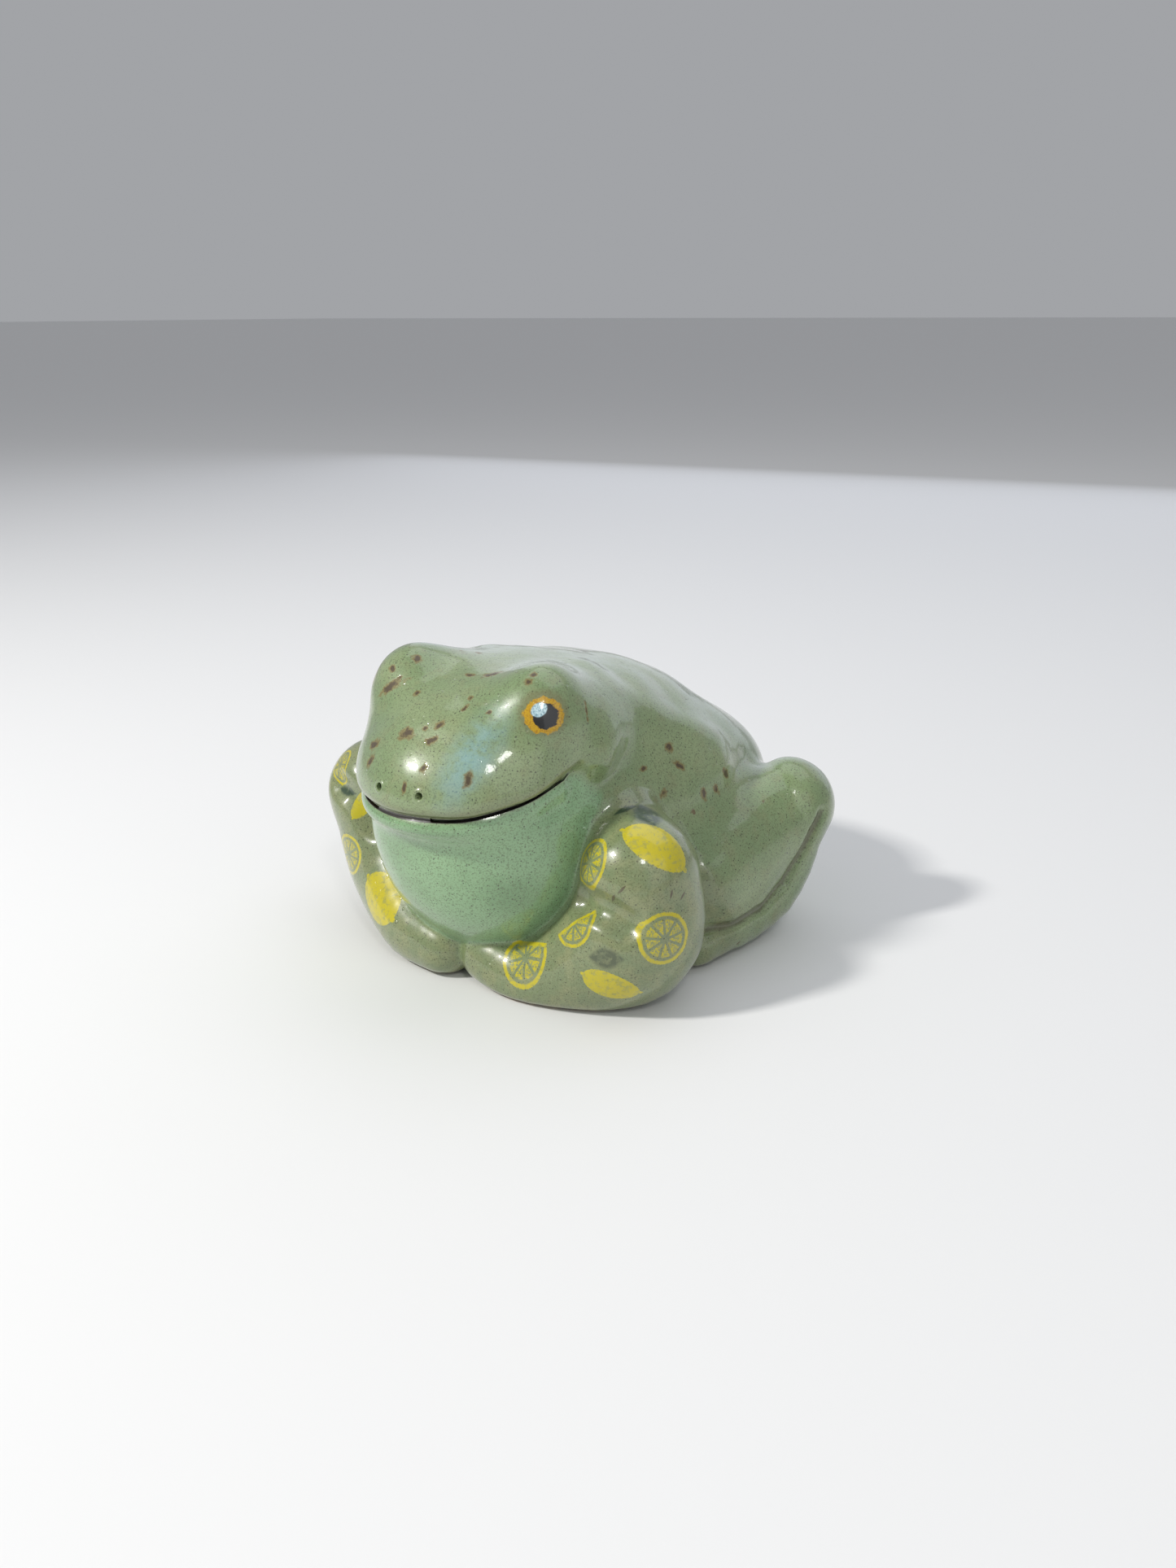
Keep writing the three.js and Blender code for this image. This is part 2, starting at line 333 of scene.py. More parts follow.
def refine(piece, wanted, cuts=1):              # smaller faces where the wanted function says so
    mesh = piece.data
    p = pointsOf(mesh)
    mask = wanted(p)
    selectOnly(piece)
    faces = np.array([mask[list(f.vertices)].all() for f in mesh.polygons])
    bpy.ops.object.mode_set(mode="EDIT")
    bpy.ops.mesh.select_mode(type="FACE")
    bpy.ops.mesh.select_all(action="DESELECT")
    bpy.ops.object.mode_set(mode="OBJECT")
    mesh.polygons.foreach_set("select", faces)
    bpy.ops.object.mode_set(mode="EDIT")
    bpy.ops.mesh.subdivide(number_cuts=cuts, smoothness=0)
    bpy.ops.object.mode_set(mode="OBJECT")


fineVoxel = 1.15         # mm


def modelled(parts, name, solid):
    piece = joined(parts, name, 3)
    pressTo(piece, pieceField(solid), 10)
    remeshed(piece, fineVoxel)
    pressTo(piece, pieceField(solid), 4)
    print("modelled", name, len(piece.data.vertices), "points")
    return piece


def limbBalls(limb, side):
    balls = smoothPath(limb["lower"], 3) + smoothPath(limb["upper"], 3)
    return [clayBall((side * x, y, z), (r, r, r)) for x, y, z, r in balls]


def torsoBalls():
    parts = []
    for name, form in torso.items():
        x, y, z = form["centre"]
        for side in ((1, -1) if x else (1,)):
            parts.append(clayBall((side * x, y, z), form["radii"], form.get("tilt", 0)))
    return parts


frogBody = modelled(torsoBalls(), "frogBody", "body")
leftFore = modelled(limbBalls(leftForeleg, 1), "leftForelegGlazed", "leftFore")
rightFore = modelled(limbBalls(rightForeleg, -1), "rightForelegGlazed", "rightFore")
leftHind = modelled(limbBalls(hindLeg, 1), "leftHindLegGlazed", "leftHind")
rightHind = modelled(limbBalls(hindLeg, -1), "rightHindLegGlazed", "rightHind")
pieces = [frogBody, leftFore, rightFore, leftHind, rightHind]

# iron spots on the body: place, half-length, stretch, spin
spots = [
    ((-28.7, 1.7, 121.7), 4.6, 0.3, 60), ((-31.5, 6.7, 127.8), 1.3, 1, 0),
    ((-25.6, 4.8, 125.4), 0.8, 1, 0), ((-24, 13, 131.5), 1.8, 0.6, 0),
    ((-15.3, 31.9, 130), 1.6, 0.7, 10), ((-10.5, 36.5, 129.7), 1.4, 0.6, 0),
    ((33.5, 10.6, 131.3), 1.1, 1, 0), ((33, 13.8, 133.4), 1.2, 0.8, 0),
    ((10.5, 17.5, 128.9), 2.6, 0.45, 20), ((1.4, 15.2, 128), 1.4, 0.6, 0),
    ((-13.4, 0.2, 121.7), 1.2, 0.8, 80), ((11.2, 2.7, 123.3), 1, 0.8, 60),
    ((12.2, -1.7, 120.7), 1.2, 0.6, 70), ((23, -0.4, 120.2), 1, 0.7, 20),
    ((6.7, -10.5, 115), 1.6, 0.6, 55), ((-5.6, -15.7, 110.9), 2.4, 0.8, 30),
    ((6.7, -15.9, 110.6), 1.9, 0.6, 45), ((1.5, -13.3, 113.5), 0.9, 1, 0),
    ((-21.5, -17.3, 104.3), 2.2, 0.75, 20), ((-19.8, -21.8, 99.2), 2, 0.6, 70),
    ((8.8, -23.6, 101.9), 1.3, 0.7, 80), ((3.1, -28.3, 94.7), 1.6, 0.45, 85),
    ((25.9, -18.3, 99.4), 2.4, 0.45, 80), ((42.6, 47.6, 112.3), 1.4, 0.8, 40),
    ((59.8, 70.8, 93.5), 1.5, 0.9, 40), ((64.7, 71.3, 86.4), 2, 0.6, -50),
    ((73.7, 96.2, 77.2), 2.2, 0.5, -60), ((74.9, 88.3, 73.2), 2, 0.6, -60),
    ((72.9, 79.9, 72.9), 1.9, 0.7, -70), ((64.8, 60.2, 77.4), 1.7, 0.7, 20),
    ((56.9, 55.1, 87.9), 1.3, 0.6, 0), ((49.7, 48, 90.4), 1.1, 0.6, 0),
    ((6.6, 87.5, 123.3), 1.8, 0.5, 20), ((47.8, 25.8, 117.5), 3.4, 0.16, 85),
    ((-44, 70, 110), 2, 0.7, 30), ((-60, 88, 90), 1.8, 0.7, 60), ((-55, 60, 82), 1.6, 0.7, 20),
    ((20, 120, 112), 1.6, 0.7, 70), ((-25, 130, 104), 1.9, 0.6, 20), ((8, 165, 70), 2, 0.6, 80),
    ((-30, 160, 66), 1.5, 0.8, 0),
]

nostril = {"x": 9.9, "y": -24.5, "z": 92.5, "radius": 1.5, "depth": 9, "rim": 0.35}
# small tool marks in the throat: route, width, depth
nicks = [
    ([(10.6, -17.3, 66.7), (12.6, -16.9, 65.6)], 0.6, 0.5),
    ([(14.5, -15.8, 63), (18.4, -14.6, 60.6), (22.7, -12.8, 58.7)], 0.6, 0.5),
    ([(27.2, -10.4, 57.9), (28.8, -9.6, 58.2)], 0.6, 0.4),
]
pourHole = {"y": 88, "radius": 13, "depth": 60}


def mouthShade(p):                               # painted shade: 1 in the gap between the lips and on its walls
    drop = np.abs(p[:, 2] - lipHeight(p[:, 1]) + mouth["gape"])
    line = 1 - ramp(drop, mouth["slit"] / 2, mouth["slit"] / 2 + 0.35)
    walls = ramp(-clayFields(p)["body"], 0.9, 1.6) * (p[:, 2] > 75)
    return np.maximum(line, walls) * (1 - ramp(p[:, 1], mouth["cornerY"] - 4, mouth["cornerY"] + 1))


def nearMouth(p):
    return (np.abs(p[:, 2] - lipHeight(p[:, 1]) + mouth["gape"]) < 4) & (p[:, 1] < mouth["cornerY"] + 3)


def nostrilGap(p):                              # distance from the nearer nostril's axis
    return np.where(p[:, 1] < 0, np.hypot(np.abs(p[:, 0]) - nostril["x"], p[:, 2] - nostril["z"]), 99)


def nearSpots(p):
    return np.min([np.linalg.norm(p - spot[0], axis=1) - spot[1] for spot in spots], axis=0) < 1.5


def lipBlade():                                 # a thin curved blade that opens the line between the lips
    bpy.ops.mesh.primitive_grid_add(x_subdivisions=90, y_subdivisions=4, size=2)
    blade = bpy.context.object
    flat = np.empty(len(blade.data.vertices) * 3, np.float32)
    blade.data.vertices.foreach_get("co", flat)
    along, inward = flat.reshape(-1, 3)[:, 0], flat.reshape(-1, 3)[:, 1]
    turn = along * math.radians(mouth["sweep"])
    near, far = [np.full(len(turn), distance) for distance in mouth["search"]]
    for halving in range(22):
        middle = (near + far) / 2
        y = mouth["middle"] - middle * np.cos(turn)
        probe = np.stack([middle * np.sin(turn), y, lipHeight(y) - mouth["gape"]], 1)
        inside = clayFields(probe)["body"] < 0
        near, far = np.where(inside, middle, near), np.where(inside, far, middle)
    height = lipHeight(mouth["middle"] - near * np.cos(turn)) - mouth["gape"]
    taper = 1 - np.abs(along) ** 5
    out = near + 3 - (inward + 1) / 2 * (3 + mouth["cut"] * taper)
    setPoints(blade.data, np.stack([out * np.sin(turn), mouth["middle"] - out * np.cos(turn), height], 1))
    solid = blade.modifiers.new("solid", "SOLIDIFY")
    solid.thickness = mouth["slit"] / 1000
    solid.offset = 0
    bpy.ops.object.modifier_apply(modifier=solid.name)
    bpy.ops.object.mode_set(mode="EDIT")
    bpy.ops.mesh.select_all(action="SELECT")
    bpy.ops.mesh.normals_make_consistent(inside=False)
    bpy.ops.object.mode_set(mode="OBJECT")
    return blade


def nickDepth(p):
    return sum(pressed(p, *nick) for nick in nicks)


refine(frogBody, lambda p: nearMouth(p) | (nostrilGap(p) < 4.5) | (nickDepth(p) > 0.001) | nearSpots(p))
refine(frogBody, lambda p: nearMouth(p) | (nostrilGap(p) < 3.5))
pressTo(frogBody, pieceField("body"), 4)
shape = pointsOf(frogBody.data)
rim = nostril["rim"] * np.exp(-((nostrilGap(shape) - nostril["radius"] - 0.6) / 0.5) ** 2)
setPoints(frogBody.data, shape - normalsOf(frogBody.data) * (nickDepth(shape) - rim)[:, None])


def cutAway(piece, cutter):
    selectOnly(piece)
    hole = piece.modifiers.new("hole", "BOOLEAN")
    hole.operation = "DIFFERENCE"
    hole.solver = "EXACT"
    hole.object = cutter
    bpy.ops.object.modifier_apply(modifier=hole.name)
    bpy.data.objects.remove(cutter)


def drill(centre, radius, depth, tilt):
    bpy.ops.mesh.primitive_cylinder_add(vertices=32, radius=radius / 1000, depth=depth / 1000,
                                        location=toFrame(centre), rotation=(math.radians(tilt), 0, 0))
    bpy.ops.object.transform_apply(location=True, rotation=True, scale=True)
    return bpy.context.object


cutAway(frogBody, lipBlade())
for side in (1, -1):
    middle = (side * nostril["x"], nostril["y"] + nostril["depth"] / 2 - 4, nostril["z"])
    cutAway(frogBody, drill(middle, nostril["radius"], nostril["depth"] + 4, 90))
cutAway(frogBody, drill((0, pourHole["y"], 0), pourHole["radius"], 2 * pourHole["depth"], 0))
print("mouth, nostrils and pour hole cut")


def patchFrame(out, spin):                      # columns: across, up and out of a flat patch
    across = Vector((-out.y, out.x, 0)).normalized()
    up = out.cross(across)
    return Matrix((across, up, out)).transposed() @ Matrix.Rotation(math.radians(spin), 3, "Z")


def setAttribute(mesh, name, values):
    attribute = mesh.attributes.get(name) or mesh.attributes.new(name, "FLOAT", "POINT")
    attribute.data.foreach_set("value", np.asarray(values, np.float32))


def creaseShade(p):                             # painted shade: 1 at the bottom of the shank's crease
    return ramp(pressed(folded(p), *shankCrease), 1.4, 1.85)


def describeClay(piece):
    mesh = piece.data
    p, n = pointsOf(mesh), normalsOf(mesh)
    found = clayFields(p)
    fore = np.minimum(found["leftFore"], found["rightFore"])
    bodyNoChin = np.minimum(found["back"], found["head"])
    throat = ramp(bodyNoChin - found["chin"], -2.5, 2.5) * ramp(fore - found["chin"], -1.5, 1.5)
    cheek = ramp(lipHeight(p[:, 1]) - p[:, 2], 1, 3) * (1 - ramp(p[:, 1], 30, 38))
    outside = clayFields(p + 4 * n)["whole"]
    setAttribute(mesh, "throat", throat * cheek)
    setAttribute(mesh, "armTone", ramp(found["body"] - fore, -3, 5))
    setAttribute(mesh, "pool", np.clip((4 - outside) / 3, 0, 1))
    setAttribute(mesh, "crease", creaseShade(p))
    # painted shade under the upper lip's edge, in a band just above the mouth
    above = p[:, 2] - lipHeight(p[:, 1])
    front = 1 - ramp(p[:, 1], 10, 26)
    setAttribute(mesh, "lipUndersideShade", ramp(above, -1, 0.5) * ramp(-above, -6, -1) * front)
    setAttribute(mesh, "mouthShade", mouthShade(p) if piece == frogBody else np.zeros(len(p)))
    setAttribute(mesh, "iron", spotField(p) if piece == frogBody else np.zeros(len(p)))


def spotField(p):                               # 1.6 in the middle of an iron spot, 0.6 at its edge
    level = np.zeros(len(p))
    for centre, size, squeeze, spin in spots:
        out = Vector((centre[0] / 60, (centre[1] - 60) / 90, 0.7)).normalized()
        turned = np.array(patchFrame(out, spin))
        off = (p - centre) @ turned / (2 * size, 2 * size * squeeze, size * 2.4)
        level = np.maximum(level, 1.6 - np.linalg.norm(off, axis=1))
    return level


for piece in pieces:
    describeClay(piece)


def addNode(tree, kind, inputs=None, **settings):
    made = tree.nodes.new(kind)
    for key, value in settings.items():
        setattr(made, key, value)
    for key, value in (inputs or {}).items():
        if isinstance(value, bpy.types.NodeSocket):
            tree.links.new(value, made.inputs[key])
        else:
            made.inputs[key].default_value = value
    return made


def calc(tree, operation, a, b=0.0, c=0.0, clamp=False):
    made = addNode(tree, "ShaderNodeMath", {0: a, 1: b, 2: c}, operation=operation, use_clamp=clamp)
    return made.outputs[0]


def vectorCalc(tree, operation, a, b=(0, 0, 0), c=(0, 0, 0)):
    return addNode(tree, "ShaderNodeVectorMath", {0: a, 1: b, 2: c}, operation=operation)


def step(tree, value, low, high):               # smooth 0 to 1, or 1 to 0 when low is above high
    made = addNode(tree, "ShaderNodeMapRange", {"Value": value, "From Min": low, "From Max": high},
                   interpolation_type="SMOOTHSTEP")
    return made.outputs["Result"]


def blend(tree, share, a, b):
    made = addNode(tree, "ShaderNodeMix", {0: share, 6: a, 7: b}, data_type="RGBA")
    return made.outputs[2]


def noise(tree, where, scale, detail=2.0, rough=0.5):
    made = addNode(tree, "ShaderNodeTexNoise", {"Vector": where, "Scale": scale, "Detail": detail,
                                                "Roughness": rough})
    return made.outputs["Fac"]


def colour(red, green, blue):                   # 0 to 255, as a paint chart gives them
    chart = [c / 255 for c in (red, green, blue)]
    return tuple(((c + 0.055) / 1.055) ** 2.4 if c > 0.04 else c / 12.92 for c in chart) + (1,)


def attribute(tree, name):
    return addNode(tree, "ShaderNodeAttribute", attribute_name=name).outputs["Fac"]


def local(tree, where, centre, normal, spin, size):     # a flat patch's own coordinates, 1 at its edge
    turned = patchFrame(Vector(normal).normalized(), spin)
    made = addNode(tree, "ShaderNodeMapping", {"Vector": where}, vector_type="TEXTURE")
    made.inputs["Location"].default_value = toFrame(centre)
    made.inputs["Rotation"].default_value = turned.to_euler()
    made.inputs["Scale"].default_value = [s / 1000 for s in size]
    return made.outputs[0]


def flatRadius(tree, vector):
    flat = vectorCalc(tree, "MULTIPLY", vector, (1, 1, 0)).outputs[0]
    return vectorCalc(tree, "LENGTH", flat).outputs["Value"]


def shallow(tree, vector):                      # the axes, and a mask that keeps a print off the far side
    axes = addNode(tree, "ShaderNodeSeparateXYZ", {0: vector})
    return axes, calc(tree, "LESS_THAN", calc(tree, "ABSOLUTE", axes.outputs[2]), 1)


def citrusSlice(tree, vector, grain, flatTop):  # nine segments in a rind, cut off above flatTop
    axes, inside = shallow(tree, vector)
    radius = calc(tree, "MULTIPLY_ADD", grain, 0.10, flatRadius(tree, vector))
    radius = calc(tree, "SUBTRACT", radius, 0.05)
    disc = step(tree, radius, 1.0, 0.97)
    rind = calc(tree, "MULTIPLY", step(tree, radius, 0.82, 0.87), disc)
    angle = calc(tree, "ARCTAN2", axes.outputs[1], axes.outputs[0])
    angle = calc(tree, "MULTIPLY", angle, 9 / (2 * math.pi))
    edge = calc(tree, "ABSOLUTE", calc(tree, "SUBTRACT", calc(tree, "FRACT", angle), 0.5))
    gap = calc(tree, "DIVIDE", 0.075, calc(tree, "MAXIMUM", radius, 0.05))
    wedge = calc(tree, "LESS_THAN", calc(tree, "ADD", edge, gap), 0.5)
    flesh = calc(tree, "MULTIPLY", step(tree, radius, 0.16, 0.2), step(tree, radius, 0.74, 0.7))
    flesh = calc(tree, "MULTIPLY", calc(tree, "MULTIPLY", flesh, wedge), step(tree, grain, 0.34, 0.6))
    ink = calc(tree, "MAXIMUM", rind, flesh)
    if flatTop < 1:
        height = calc(tree, "MULTIPLY_ADD", grain, 0.08, axes.outputs[1])
        cutEdge = calc(tree, "MULTIPLY", step(tree, height, flatTop - 0.12, flatTop - 0.08), disc)
        ink = calc(tree, "MAXIMUM", ink, cutEdge)
        ink = calc(tree, "MULTIPLY", ink, calc(tree, "LESS_THAN", height, flatTop + 0.04))
    return calc(tree, "MULTIPLY", ink, inside)


def wholeLemon(tree, vector, grain, flatTop):
    axes, inside = shallow(tree, vector)
    along = calc(tree, "ABSOLUTE", axes.outputs[0])
    bow = calc(tree, "MULTIPLY_ADD", calc(tree, "MULTIPLY", along, along), -1.25, 1.0)
    taper = calc(tree, "SQRT", calc(tree, "MAXIMUM", bow, 0.0))
    nub = calc(tree, "MULTIPLY", step(tree, along, 1.03, 0.93), 0.16)
    width = calc(tree, "MAXIMUM", taper, nub)
    across = calc(tree, "MULTIPLY_ADD", grain, 0.14, calc(tree, "ABSOLUTE", axes.outputs[1]))
    ink = step(tree, calc(tree, "SUBTRACT", across, width), 0.04, 0.0)
    ink = calc(tree, "MULTIPLY", ink, step(tree, grain, 0.2, 0.38))
    return calc(tree, "MULTIPLY", ink, inside)


def leafPrint(tree, vector, grain, flatTop):
    axes, inside = shallow(tree, vector)
    bow = calc(tree, "MULTIPLY", axes.outputs[0], axes.outputs[0])
    width = calc(tree, "MULTIPLY_ADD", bow, -1.0, 1.0)
    across = calc(tree, "ABSOLUTE", axes.outputs[1])
    across = calc(tree, "MULTIPLY_ADD", grain, 0.5, across)
    ink = step(tree, calc(tree, "SUBTRACT", across, width), 0.3, -0.2)
    return calc(tree, "MULTIPLY", ink, inside)


lemonYellow = colour(196, 182, 0)
leafGreen = colour(38, 62, 40)
smudgeGreen = colour(74, 84, 58)
streakBrown = colour(84, 74, 52)

prints = {                                      # kind, centre, facing, spin, size, colour, flat top
    "leftFore": [
        (citrusSlice, (59, 13.5, 62), (-0.42, -0.82, 0.38), 0, (8.6, 10.4, 9), lemonYellow, 1),
        (wholeLemon, (81.5, 25, 70.5), (0.5, -0.42, 0.76), -42, (15.5, 8.6, 9), lemonYellow, 1),
        (leafPrint, (71, 35.5, 77), (0.2, -0.1, 0.96), 78, (9, 7.5, 9), leafGreen, 1),
        (leafPrint, (62, 34, 78), (0.05, -0.2, 0.98), 46, (6, 1.8, 8), leafGreen, 1),
        (citrusSlice, (91, 16.7, 36.9), (0.82, -0.57, 0.09), 10, (10.7, 10.7, 8), lemonYellow, 1),
        (citrusSlice, (55.4, 5.4, 38.5), (-0.25, -0.89, 0.37), 52, (9.5, 9.5, 8), lemonYellow, 0.1),
        (citrusSlice, (35.5, 2, 19.5), (0, -0.76, 0.62), 4, (11, 12.5, 9), lemonYellow, 0.55),
        (wholeLemon, (73.5, 5.8, 17), (0.33, -0.92, -0.2), -20, (13, 6.5, 8), lemonYellow, 1),
        (leafPrint, (72.8, 3.6, 29), (0.26, -0.96, 0.12), 5, (8, 5, 6), smudgeGreen, 1),
        (leafPrint, (75.5, 10.5, 56), (0.25, -0.94, 0.24), 50, (2.6, 0.7, 4), streakBrown, 1),
        (leafPrint, (71.8, 8.5, 51.8), (0.11, -0.98, 0.17), 60, (2.6, 0.8, 4), streakBrown, 1),
        (leafPrint, (90.5, 22, 53.5), (0.87, -0.44, 0.2), 70, (2.2, 0.6, 4), streakBrown, 1),
        (leafPrint, (93, 27, 51.5), (0.96, -0.23, 0.14), 40, (2.4, 0.6, 4), streakBrown, 1),
    ],
    "rightFore": [
        (citrusSlice, (-71, 14.2, 35), (-0.37, -0.93, 0.04), 0, (9.5, 9.5, 8), lemonYellow, 1),
        (wholeLemon, (-43.5, 4, 24.5), (-0.2, -0.8, 0.54), -25, (15, 10.5, 10), lemonYellow, 1),
        (wholeLemon, (-65.8, 17, 58.5), (0.3, -0.92, 0.2), 60, (8, 4.2, 7), lemonYellow, 1),
        (leafPrint, (-76.5, 16.9, 63), (-0.15, -0.97, 0.2), 0, (6, 2.8, 6), leafGreen, 1),
        (citrusSlice, (-82.3, 23.2, 73), (-0.4, -0.7, 0.6), 20, (6, 8, 6), lemonYellow, 1),
        (wholeLemon, (-95, 34, 52), (-0.95, -0.25, 0.15), 50, (14, 8, 8), lemonYellow, 1),
        (citrusSlice, (-86, 46, 33), (-0.95, 0.1, -0.2), 0, (9, 9, 8), lemonYellow, 0.2),
    ],
    "leftHind": [], "rightHind": [],
}
prints["body"] = prints["leftFore"][2:4]        # the leaf runs on over the shoulder

eye = {"left": ((42.4, 7.6, 120.3), (0.70, -0.63, 0.33)),       # place, facing
       "right": ((-46, 15.5, 119.5), (-0.92, -0.25, 0.3)),
       "iris": (7.6, 7.0),
       "pupil": (5.1, 4.9), "shift": (0.5, -0.2), "glint": (-1.7, 2.3), "glintSize": (3.3, 2.5)}


def offset(centre, facing, dx, dy):             # a point moved over a patch's own plane
    out = Vector(facing).normalized()
    across = Vector((-out.y, out.x, 0)).normalized()
    return Vector(centre) + across * dx + out.cross(across) * dy


def paintEyes(tree, where, grain, torn, base):
    for side in (1, -1):
        centre, facing = eye["left" if side > 0 else "right"]

        def blob(dx, dy, size, spin, soft, ragged):
            at = offset(centre, facing, side * dx, dy)
            vector = local(tree, where, at, facing, side * spin, (*size, 8))
            radius = calc(tree, "MULTIPLY_ADD", torn, ragged, flatRadius(tree, vector))
            inside = shallow(tree, vector)[1]
            edge = 1 + ragged / 2
            return calc(tree, "MULTIPLY", step(tree, radius, edge + soft, edge - soft), inside)

        halo = blob(0, 0.8, (9.6, 9), 0, 0.16, 0.25)
        base = blend(tree, calc(tree, "MULTIPLY", halo, 0.42), base, colour(112, 96, 60))
        iris = blob(0, 0, eye["iris"], 0, 0.05, 0.55)
        amber = blend(tree, step(tree, grain, 0.25, 0.6), colour(160, 112, 0), colour(192, 152, 0))
        base = blend(tree, iris, base, amber)
        pupil = blob(*eye["shift"], eye["pupil"], 0, 0.05, 0.6)
        base = blend(tree, pupil, base, colour(4, 5, 5))
        # painted highlight on the pupil
        glint = blob(*eye["glint"], eye["glintSize"], 35, 0.1, 0.3)
        pale = blend(tree, step(tree, grain, 0.35, 0.65), colour(124, 160, 172), colour(196, 222, 226))
        base = blend(tree, glint, base, pale)
    return base


def paintSpots(tree, torn, base):
    level = calc(tree, "MULTIPLY_ADD", torn, 1.5, attribute(tree, "iron"))
    bleed = step(tree, level, 1.35, 1.85)
    core = step(tree, level, 1.75, 2.05)
    base = blend(tree, calc(tree, "MULTIPLY", bleed, 0.75), base, colour(116, 92, 28))
    return blend(tree, calc(tree, "MULTIPLY", core, 0.9), base, colour(60, 42, 8)), bleed


def glaze(name, solid):
    material = bpy.data.materials.new(name)
    material.use_nodes = True
    tree = material.node_tree
    shader = tree.nodes["Principled BSDF"]
    where = addNode(tree, "ShaderNodeTexCoord").outputs["Object"]
    fine = noise(tree, where, 1500, 2)
    cloudy = noise(tree, where, 28, 3)
    mottled = noise(tree, where, 150, 4, 0.6)
    torn = noise(tree, where, 430, 3, 0.6)
    throat, arm = attribute(tree, "throat"), attribute(tree, "armTone")
    pool, lips = attribute(tree, "pool"), attribute(tree, "mouthShade")

    sage = blend(tree, step(tree, cloudy, 0.3, 0.7), colour(120, 142, 98), colour(140, 156, 112))
    clouds = calc(tree, "MULTIPLY", step(tree, mottled, 0.45, 0.75), 0.5)
    sage = blend(tree, clouds, sage, colour(134, 138, 96))
    stone = blend(tree, step(tree, mottled, 0.35, 0.7), colour(120, 134, 94), colour(136, 142, 100))
    mint = blend(tree, step(tree, cloudy, 0.35, 0.65), colour(122, 158, 114), colour(140, 176, 132))
    base = blend(tree, arm, sage, stone)
    base = blend(tree, throat, base, mint)
    wet = calc(tree, "MULTIPLY", step(tree, pool, 0.55, 1.0), 0.35)
    base = blend(tree, wet, base, colour(140, 172, 128))

    # fine dark and pale specks burnt out of the clay
    speck = addNode(tree, "ShaderNodeTexVoronoi", {"Vector": where, "Scale": 900.0, "Randomness": 1.0})
    pick = addNode(tree, "ShaderNodeSeparateColor", {0: speck.outputs["Color"]})
    size = calc(tree, "MULTIPLY", pick.outputs[0], 0.34)
    away = calc(tree, "SUBTRACT", speck.outputs["Distance"], size)
    dot = calc(tree, "MULTIPLY", step(tree, away, 0.03, -0.06), step(tree, pick.outputs[1], 0.25, 0.3))
    light = calc(tree, "MULTIPLY", step(tree, speck.outputs["Distance"], 0.35, 0.2),
                 step(tree, pick.outputs[1], 0.22, 0.16))
    base = blend(tree, calc(tree, "MULTIPLY", dot, 0.75), base, colour(52, 50, 34))
    base = blend(tree, calc(tree, "MULTIPLY", light, 0.15), base, colour(186, 192, 158))
    grain = calc(tree, "MULTIPLY", step(tree, fine, 0.48, 0.66), 0.5)
    base = blend(tree, grain, base, colour(86, 92, 58))

    # sparse iron flecks with soft edges
    drift = addNode(tree, "ShaderNodeTexNoise", {"Vector": where, "Scale": 380.0}).outputs["Color"]
    warped = vectorCalc(tree, "MULTIPLY_ADD", drift, (0.0035, 0.0035, 0.0035), where).outputs[0]
    iron = addNode(tree, "ShaderNodeTexVoronoi", {"Vector": warped, "Scale": 95.0, "Randomness": 1.0})
    chosen = addNode(tree, "ShaderNodeSeparateColor", {0: iron.outputs["Color"]})
    reachOut = calc(tree, "MULTIPLY_ADD", chosen.outputs[0], 0.09, 0.03)
    fleck = step(tree, calc(tree, "SUBTRACT", iron.outputs["Distance"], reachOut), 0.03, -0.04)
    fleck = calc(tree, "MULTIPLY", fleck, step(tree, chosen.outputs[1], 0.88, 0.9))
    fleck = calc(tree, "MULTIPLY", fleck, calc(tree, "SUBTRACT", 1.0, throat, clamp=True))
    base = blend(tree, calc(tree, "MULTIPLY", fleck, 0.75), base, colour(96, 66, 38))

    raised = fleck
    if solid == "body":
        # painted reflection: a pale bluish sheen over the snout, near its highlight
        sheenPatch = local(tree, warped, (25, -10, 107), (0.38, -0.63, 0.65), 60, (25, 10, 14))
        away = vectorCalc(tree, "LENGTH", sheenPatch).outputs["Value"]
        paintedSheen = calc(tree, "MULTIPLY", step(tree, away, 1.3, 0.1), 0.55)
        paintedSheen = calc(tree, "MULTIPLY", paintedSheen, step(tree, mottled, 0.25, 0.6))
        base = blend(tree, paintedSheen, base, colour(140, 186, 196))
        base, spotted = paintSpots(tree, torn, base)
        raised = calc(tree, "MAXIMUM", raised, spotted)
        base = paintEyes(tree, where, fine, torn, base)
        # painted shade under the upper lip
        underLipShade = calc(tree, "MULTIPLY", attribute(tree, "lipUndersideShade"), 0.45)
        base = blend(tree, underLipShade, base, colour(112, 104, 66))
        # painted shade darkens the mouth slit and its cut walls
        lipShade = step(tree, lips, 0.25, 0.75)
        base = blend(tree, lipShade, base, colour(34, 28, 18))

    # painted shade darkens the bottom of the shank's crease
    crease = calc(tree, "MULTIPLY", attribute(tree, "crease"), 0.75)
    base = blend(tree, crease, base, colour(74, 72, 40))
    patchy = step(tree, torn, 0.32, 0.52)
    for kind, centre, facing, spin, size, ink, flatTop in prints[solid]:
        vector = local(tree, where, centre, facing, spin, size)
        mask = kind(tree, vector, fine, flatTop)
        worn = calc(tree, "MULTIPLY", mask, calc(tree, "MULTIPLY_ADD", patchy, 0.45, 0.5))
        base = blend(tree, worn, base, ink)

    tree.links.new(base, shader.inputs["Base Color"])
    satin = calc(tree, "MULTIPLY_ADD", mottled, 0.2, 0.22)
    satin = calc(tree, "MULTIPLY_ADD", raised, 0.25, satin)
    tree.links.new(satin, shader.inputs["Roughness"])
    shader.inputs["IOR"].default_value = 1.5
    shader.inputs["Coat Weight"].default_value = 0.9
    shader.inputs["Coat Roughness"].default_value = 0.045
    shader.inputs["Coat IOR"].default_value = 1.5

